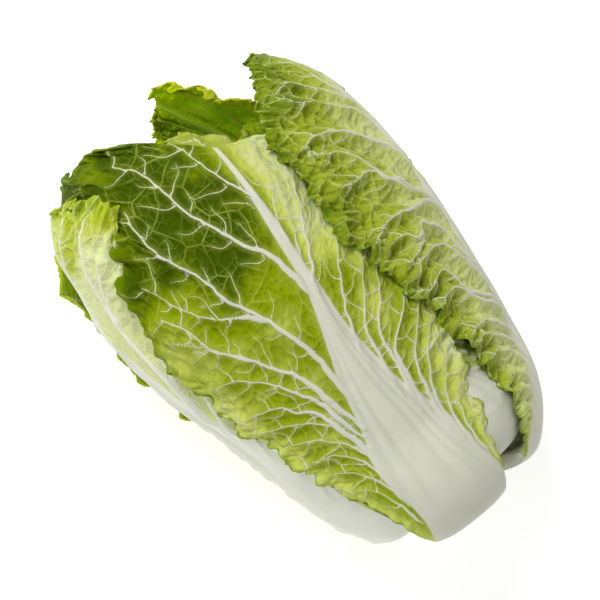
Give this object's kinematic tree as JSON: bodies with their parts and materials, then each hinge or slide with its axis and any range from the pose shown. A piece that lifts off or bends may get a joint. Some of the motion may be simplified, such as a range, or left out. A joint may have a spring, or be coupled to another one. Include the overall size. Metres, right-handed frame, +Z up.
{
  "type": "chinese cabbage",
  "caption": "Whole head of Chinese (napa) cabbage lying on its side, with broad white ribs, waved green blades and nested inner leaves round a heart.",
  "frame": {"origin": "on the table, under the middle of the head's bounding box", "axes": "+Y from the cut stem towards the leaf tips, +Z up, +X on the right seen from above"},
  "size_m": [0.2022, 0.307, 0.1652],
  "materials": {
    "outer_leaf": "satin, waxy leaf with a white rib",
    "pale_leaf": "satin, waxy pale leaf with a white rib",
    "inner_leaf": "satin, waxy leaf with a white rib",
    "core_leaf": "satin, yellow-green leaf",
    "heart": "satin, pale yellow",
    "stem": "matte, freshly cut"
  },
  "bodies": {
    "root": {"right_leaf": "outer_leaf", "front_leaf": "outer_leaf", "back_leaf": "outer_leaf", "left_leaf": "pale_leaf", "inner_right_leaf": "inner_leaf", "inner_left_leaf": "inner_leaf", "top_leaf": "inner_leaf", "inner_back_leaf": "inner_leaf", "core_leaf_1": "core_leaf", "core_leaf_2": "core_leaf", "core_leaf_3": "core_leaf", "core_leaf_4": "core_leaf", "heart": "heart", "stem": "stem"}
  },
  "joints": []
}
